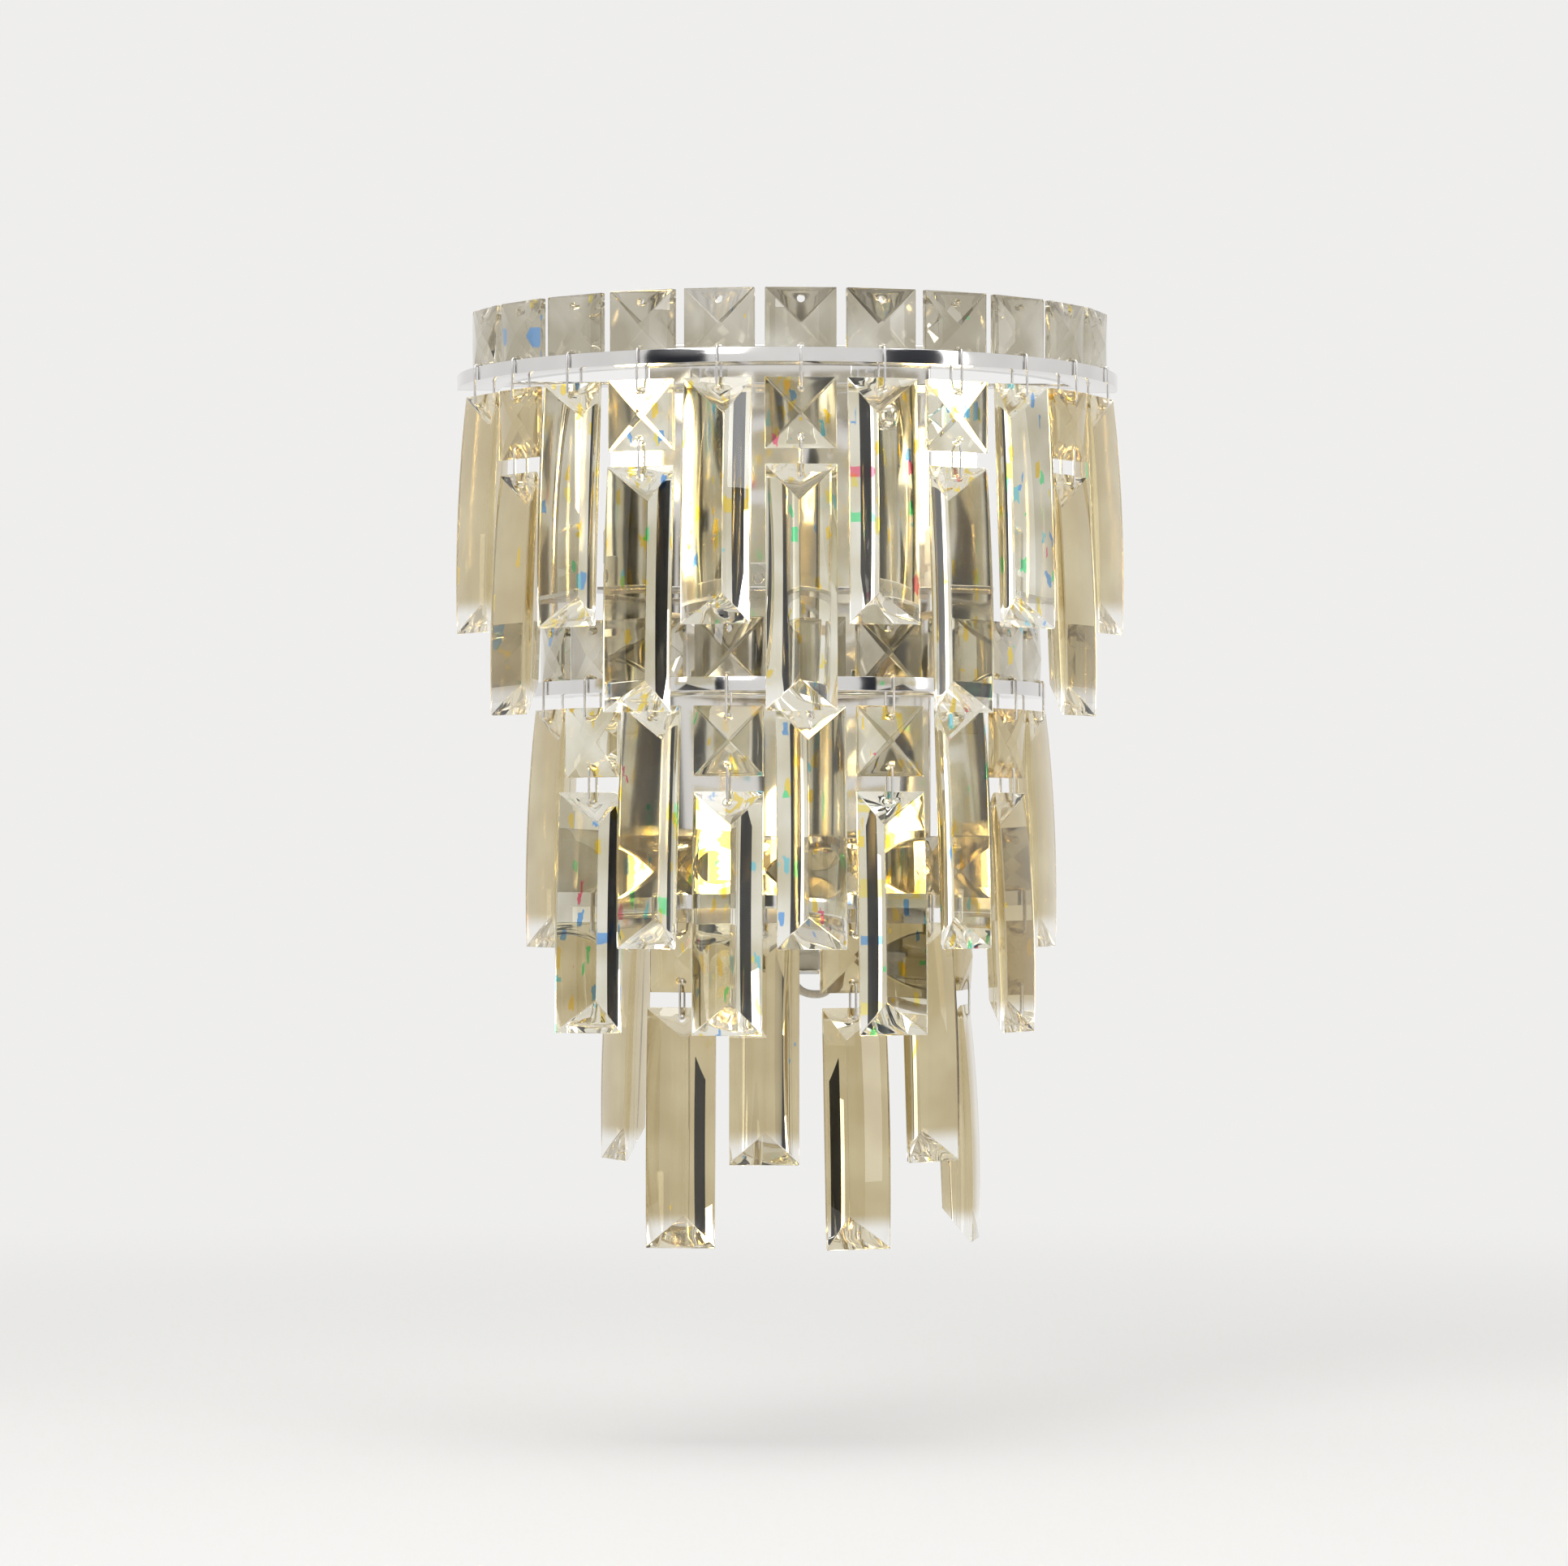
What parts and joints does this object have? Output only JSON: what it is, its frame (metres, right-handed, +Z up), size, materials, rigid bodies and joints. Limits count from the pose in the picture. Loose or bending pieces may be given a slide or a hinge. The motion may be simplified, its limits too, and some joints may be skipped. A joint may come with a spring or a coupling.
{
  "type": "crystal wall sconce",
  "caption": "Half-round tiered wall light: chrome rings on a mirror plate carry standing square crystals and hanging strands of squares and long prisms round capsule lamps.",
  "frame": {"origin": "middle of the wall bracket's two fixing holes, on the wall plane", "axes": "+Z up, the wall is the plane Y = 0, the room and the front of the light are on -Y, +X to the right seen from the room"},
  "size_m": [0.215, 0.11, 0.2982],
  "materials": {
    "hanging_crystal": "clear polished crystal, cut facets",
    "standing_crystal": "clear polished crystal, cut facets",
    "ring_chrome": "mirror polished",
    "plate_mirror": "mirror polished stainless sheet",
    "nut_chrome": "mirror polished",
    "link_chrome": "bright wire",
    "screw_steel": "plain zinc",
    "shelf_steel": "polished sheet",
    "bracket_steel": "zinc plated sheet",
    "holder_ceramic": "unglazed white",
    "bulb_glass": "clear capsule, lit warm white",
    "terminal_plastic": "plain moulded",
    "lead_sleeve": "glass-fibre sleeve"
  },
  "bodies": {
    "frame": {"wall_bracket": "bracket_steel", "back_plate": "plate_mirror", "top_ring": "ring_chrome", "middle_ring": "ring_chrome", "bottom_ring": "ring_chrome", "frame_screws": "screw_steel", "cap_nuts": "nut_chrome", "upper_lamp_shelf": "shelf_steel", "lower_lamp_shelf": "shelf_steel", "terminal_block": "terminal_plastic", "lamp_leads": "lead_sleeve", "left_lamp_holder": "holder_ceramic", "left_bulb": "bulb_glass", "right_lamp_holder": "holder_ceramic", "right_bulb": "bulb_glass", "lower_lamp_holder": "holder_ceramic", "lower_bulb": "bulb_glass", "top_standing_squares": "standing_crystal", "middle_standing_squares": "standing_crystal", "bottom_standing_squares": "standing_crystal", "rim_links": "link_chrome"},
    "top_strand_01_prism": {"top_strand_01_prism": "hanging_crystal"},
    "top_strand_02_square": {"top_strand_02_square": "hanging_crystal"},
    "top_strand_02_prism": {"top_strand_02_prism": "hanging_crystal"},
    "top_strand_03_prism": {"top_strand_03_prism": "hanging_crystal"},
    "top_strand_04_square": {"top_strand_04_square": "hanging_crystal"},
    "top_strand_04_prism": {"top_strand_04_prism": "hanging_crystal"},
    "top_strand_05_prism": {"top_strand_05_prism": "hanging_crystal"},
    "top_strand_06_square": {"top_strand_06_square": "hanging_crystal"},
    "top_strand_06_prism": {"top_strand_06_prism": "hanging_crystal"},
    "top_strand_07_prism": {"top_strand_07_prism": "hanging_crystal"},
    "top_strand_08_square": {"top_strand_08_square": "hanging_crystal"},
    "top_strand_08_prism": {"top_strand_08_prism": "hanging_crystal"},
    "top_strand_09_prism": {"top_strand_09_prism": "hanging_crystal"},
    "top_strand_10_square": {"top_strand_10_square": "hanging_crystal"},
    "top_strand_10_prism": {"top_strand_10_prism": "hanging_crystal"},
    "top_strand_11_prism": {"top_strand_11_prism": "hanging_crystal"},
    "middle_strand_01_prism": {"middle_strand_01_prism": "hanging_crystal"},
    "middle_strand_02_square": {"middle_strand_02_square": "hanging_crystal"},
    "middle_strand_02_prism": {"middle_strand_02_prism": "hanging_crystal"},
    "middle_strand_03_prism": {"middle_strand_03_prism": "hanging_crystal"},
    "middle_strand_04_square": {"middle_strand_04_square": "hanging_crystal"},
    "middle_strand_04_prism": {"middle_strand_04_prism": "hanging_crystal"},
    "middle_strand_05_prism": {"middle_strand_05_prism": "hanging_crystal"},
    "middle_strand_06_square": {"middle_strand_06_square": "hanging_crystal"},
    "middle_strand_06_prism": {"middle_strand_06_prism": "hanging_crystal"},
    "middle_strand_07_prism": {"middle_strand_07_prism": "hanging_crystal"},
    "middle_strand_08_square": {"middle_strand_08_square": "hanging_crystal"},
    "middle_strand_08_prism": {"middle_strand_08_prism": "hanging_crystal"},
    "middle_strand_09_prism": {"middle_strand_09_prism": "hanging_crystal"},
    "bottom_strand_01_prism": {"bottom_strand_01_prism": "hanging_crystal"},
    "bottom_strand_02_square": {"bottom_strand_02_square": "hanging_crystal"},
    "bottom_strand_02_prism": {"bottom_strand_02_prism": "hanging_crystal"},
    "bottom_strand_03_prism": {"bottom_strand_03_prism": "hanging_crystal"},
    "bottom_strand_04_square": {"bottom_strand_04_square": "hanging_crystal"},
    "bottom_strand_04_prism": {"bottom_strand_04_prism": "hanging_crystal"},
    "bottom_strand_05_prism": {"bottom_strand_05_prism": "hanging_crystal"},
    "bottom_strand_06_square": {"bottom_strand_06_square": "hanging_crystal"},
    "bottom_strand_06_prism": {"bottom_strand_06_prism": "hanging_crystal"}
  },
  "joints": [
    {"name": "top_strand_01_swing", "type": "hinge", "parent": "frame", "child": "top_strand_01_prism", "pos_m": [-0.09822, -0.03712, 0.0715], "axis": [-0.4493, 0.8934, 0], "range_deg": [-5, 12]},
    {"name": "top_strand_02_square_swing", "type": "hinge", "parent": "frame", "child": "top_strand_02_square", "pos_m": [-0.08654, -0.05947, 0.0715], "axis": [-0.5471, 0.8371, 0], "range_deg": [-5, 12]},
    {"name": "top_strand_02_prism_swing", "type": "hinge", "parent": "top_strand_02_square", "child": "top_strand_02_prism", "pos_m": [-0.08654, -0.05947, 0.0448], "axis": [-0.5075, 0.8616, 0], "range_deg": [-5, 12]},
    {"name": "top_strand_03_swing", "type": "hinge", "parent": "frame", "child": "top_strand_03_prism", "pos_m": [-0.06985, -0.0784, 0.0715], "axis": [-0.7804, 0.6252, 0], "range_deg": [-5, 12]},
    {"name": "top_strand_04_square_swing", "type": "hinge", "parent": "frame", "child": "top_strand_04_square", "pos_m": [-0.04913, -0.0928, 0.0715], "axis": [-0.8944, 0.4472, 0], "range_deg": [-5, 12]},
    {"name": "top_strand_04_prism_swing", "type": "hinge", "parent": "top_strand_04_square", "child": "top_strand_04_prism", "pos_m": [-0.04913, -0.0928, 0.0448], "axis": [-0.9143, 0.4051, 0], "range_deg": [-5, 12]},
    {"name": "top_strand_05_swing", "type": "hinge", "parent": "frame", "child": "top_strand_05_prism", "pos_m": [-0.02558, -0.10184, 0.0715], "axis": [-0.9449, 0.3272, 0], "range_deg": [-5, 12]},
    {"name": "top_strand_06_square_swing", "type": "hinge", "parent": "frame", "child": "top_strand_06_square", "pos_m": [-0.00055, -0.105, 0.0715], "axis": [-1, -0.0064, 0], "range_deg": [-5, 12]},
    {"name": "top_strand_06_prism_swing", "type": "hinge", "parent": "top_strand_06_square", "child": "top_strand_06_prism", "pos_m": [-0.00055, -0.105, 0.0448], "axis": [-0.9996, -0.0297, 0], "range_deg": [-5, 12]},
    {"name": "top_strand_07_swing", "type": "hinge", "parent": "frame", "child": "top_strand_07_prism", "pos_m": [0.02451, -0.1021, 0.0715], "axis": [-0.9833, -0.1822, 0], "range_deg": [-5, 12]},
    {"name": "top_strand_08_square_swing", "type": "hinge", "parent": "frame", "child": "top_strand_08_square", "pos_m": [0.04816, -0.09331, 0.0715], "axis": [-0.8749, -0.4843, 0], "range_deg": [-5, 12]},
    {"name": "top_strand_08_prism_swing", "type": "hinge", "parent": "top_strand_08_square", "child": "top_strand_08_prism", "pos_m": [0.04816, -0.09331, 0.0448], "axis": [-0.8453, -0.5344, 0], "range_deg": [-5, 12]},
    {"name": "top_strand_09_swing", "type": "hinge", "parent": "frame", "child": "top_strand_09_prism", "pos_m": [0.06903, -0.07913, 0.0715], "axis": [-0.7976, -0.6032, 0], "range_deg": [-5, 12]},
    {"name": "top_strand_10_square_swing", "type": "hinge", "parent": "frame", "child": "top_strand_10_square", "pos_m": [0.08591, -0.06038, 0.0715], "axis": [-0.5606, -0.8281, 0], "range_deg": [-5, 12]},
    {"name": "top_strand_10_prism_swing", "type": "hinge", "parent": "top_strand_10_square", "child": "top_strand_10_prism", "pos_m": [0.08591, -0.06038, 0.0448], "axis": [-0.5314, -0.8471, 0], "range_deg": [-5, 12]},
    {"name": "top_strand_11_swing", "type": "hinge", "parent": "frame", "child": "top_strand_11_prism", "pos_m": [0.09783, -0.03814, 0.0715], "axis": [-0.4431, -0.8965, 0], "range_deg": [-5, 12]},
    {"name": "middle_strand_01_swing", "type": "hinge", "parent": "frame", "child": "middle_strand_01_prism", "pos_m": [-0.07634, -0.02854, -0.0285], "axis": [-0.4147, 0.91, 0], "range_deg": [-5, 12]},
    {"name": "middle_strand_02_square_swing", "type": "hinge", "parent": "frame", "child": "middle_strand_02_square", "pos_m": [-0.06378, -0.05074, -0.0285], "axis": [-0.749, 0.6626, 0], "range_deg": [-5, 12]},
    {"name": "middle_strand_02_prism_swing", "type": "hinge", "parent": "middle_strand_02_square", "child": "middle_strand_02_prism", "pos_m": [-0.06378, -0.05074, -0.0552], "axis": [-0.9304, 0.3665, 0], "range_deg": [-5, 12]},
    {"name": "middle_strand_03_swing", "type": "hinge", "parent": "frame", "child": "middle_strand_03_prism", "pos_m": [-0.04498, -0.06796, -0.0285], "axis": [-0.7934, 0.6088, 0], "range_deg": [-5, 12]},
    {"name": "middle_strand_04_square_swing", "type": "hinge", "parent": "frame", "child": "middle_strand_04_square", "pos_m": [-0.02178, -0.07854, -0.0285], "axis": [-0.9724, 0.2334, 0], "range_deg": [-5, 12]},
    {"name": "middle_strand_04_prism_swing", "type": "hinge", "parent": "middle_strand_04_square", "child": "middle_strand_04_prism", "pos_m": [-0.02178, -0.07854, -0.0552], "axis": [-0.9863, 0.165, 0], "range_deg": [-5, 12]},
    {"name": "middle_strand_05_swing", "type": "hinge", "parent": "frame", "child": "middle_strand_05_prism", "pos_m": [0.00356, -0.08143, -0.0285], "axis": [-0.9954, -0.0958, 0], "range_deg": [-5, 12]},
    {"name": "middle_strand_06_square_swing", "type": "hinge", "parent": "frame", "child": "middle_strand_06_square", "pos_m": [0.02854, -0.07634, -0.0285], "axis": [-0.9483, -0.3173, 0], "range_deg": [-5, 12]},
    {"name": "middle_strand_06_prism_swing", "type": "hinge", "parent": "middle_strand_06_square", "child": "middle_strand_06_prism", "pos_m": [0.02854, -0.07634, -0.0552], "axis": [-0.9681, -0.2504, 0], "range_deg": [-5, 12]},
    {"name": "middle_strand_07_swing", "type": "hinge", "parent": "frame", "child": "middle_strand_07_prism", "pos_m": [0.05074, -0.06378, -0.0285], "axis": [-0.7373, -0.6756, 0], "range_deg": [-5, 12]},
    {"name": "middle_strand_08_square_swing", "type": "hinge", "parent": "frame", "child": "middle_strand_08_square", "pos_m": [0.06796, -0.04498, -0.0285], "axis": [-0.5373, -0.8434, 0], "range_deg": [-5, 12]},
    {"name": "middle_strand_08_prism_swing", "type": "hinge", "parent": "middle_strand_08_square", "child": "middle_strand_08_prism", "pos_m": [0.06796, -0.04498, -0.0552], "axis": [-0.5075, -0.8616, 0], "range_deg": [-5, 12]},
    {"name": "middle_strand_09_swing", "type": "hinge", "parent": "frame", "child": "middle_strand_09_prism", "pos_m": [0.07854, -0.02178, -0.0285], "axis": [-0.3502, -0.9367, 0], "range_deg": [-5, 12]},
    {"name": "bottom_strand_01_swing", "type": "hinge", "parent": "frame", "child": "bottom_strand_01_prism", "pos_m": [-0.05282, -0.02396, -0.0965], "axis": [-0.3322, 0.9432, 0], "range_deg": [-5, 12]},
    {"name": "bottom_strand_02_square_swing", "type": "hinge", "parent": "frame", "child": "bottom_strand_02_square", "pos_m": [-0.03539, -0.04596, -0.0965], "axis": [-0.8808, 0.4736, 0], "range_deg": [-5, 12]},
    {"name": "bottom_strand_02_prism_swing", "type": "hinge", "parent": "bottom_strand_02_square", "child": "bottom_strand_02_prism", "pos_m": [-0.03539, -0.04596, -0.1232], "axis": [-0.986, 0.1668, 0], "range_deg": [-5, 12]},
    {"name": "bottom_strand_03_swing", "type": "hinge", "parent": "frame", "child": "bottom_strand_03_prism", "pos_m": [-0.00967, -0.05719, -0.0965], "axis": [-0.9968, 0.0802, 0], "range_deg": [-5, 12]},
    {"name": "bottom_strand_04_square_swing", "type": "hinge", "parent": "frame", "child": "bottom_strand_04_square", "pos_m": [0.01831, -0.05504, -0.0965], "axis": [-0.9413, -0.3376, 0], "range_deg": [-5, 12]},
    {"name": "bottom_strand_04_prism_swing", "type": "hinge", "parent": "bottom_strand_04_square", "child": "bottom_strand_04_prism", "pos_m": [0.01831, -0.05504, -0.1232], "axis": [-0.9245, -0.3811, 0], "range_deg": [-5, 12]},
    {"name": "bottom_strand_05_swing", "type": "hinge", "parent": "frame", "child": "bottom_strand_05_prism", "pos_m": [0.042, -0.04, -0.0965], "axis": [-0.7615, -0.6481, 0], "range_deg": [-5, 12]},
    {"name": "bottom_strand_06_square_swing", "type": "hinge", "parent": "frame", "child": "bottom_strand_06_square", "pos_m": [0.05587, -0.0156, -0.0965], "axis": [-0.2408, -0.9706, 0], "range_deg": [-5, 12]},
    {"name": "bottom_strand_06_prism_swing", "type": "hinge", "parent": "bottom_strand_06_square", "child": "bottom_strand_06_prism", "pos_m": [0.05587, -0.0156, -0.1232], "axis": [-0.184, -0.9829, 0], "range_deg": [-5, 12]}
  ]
}
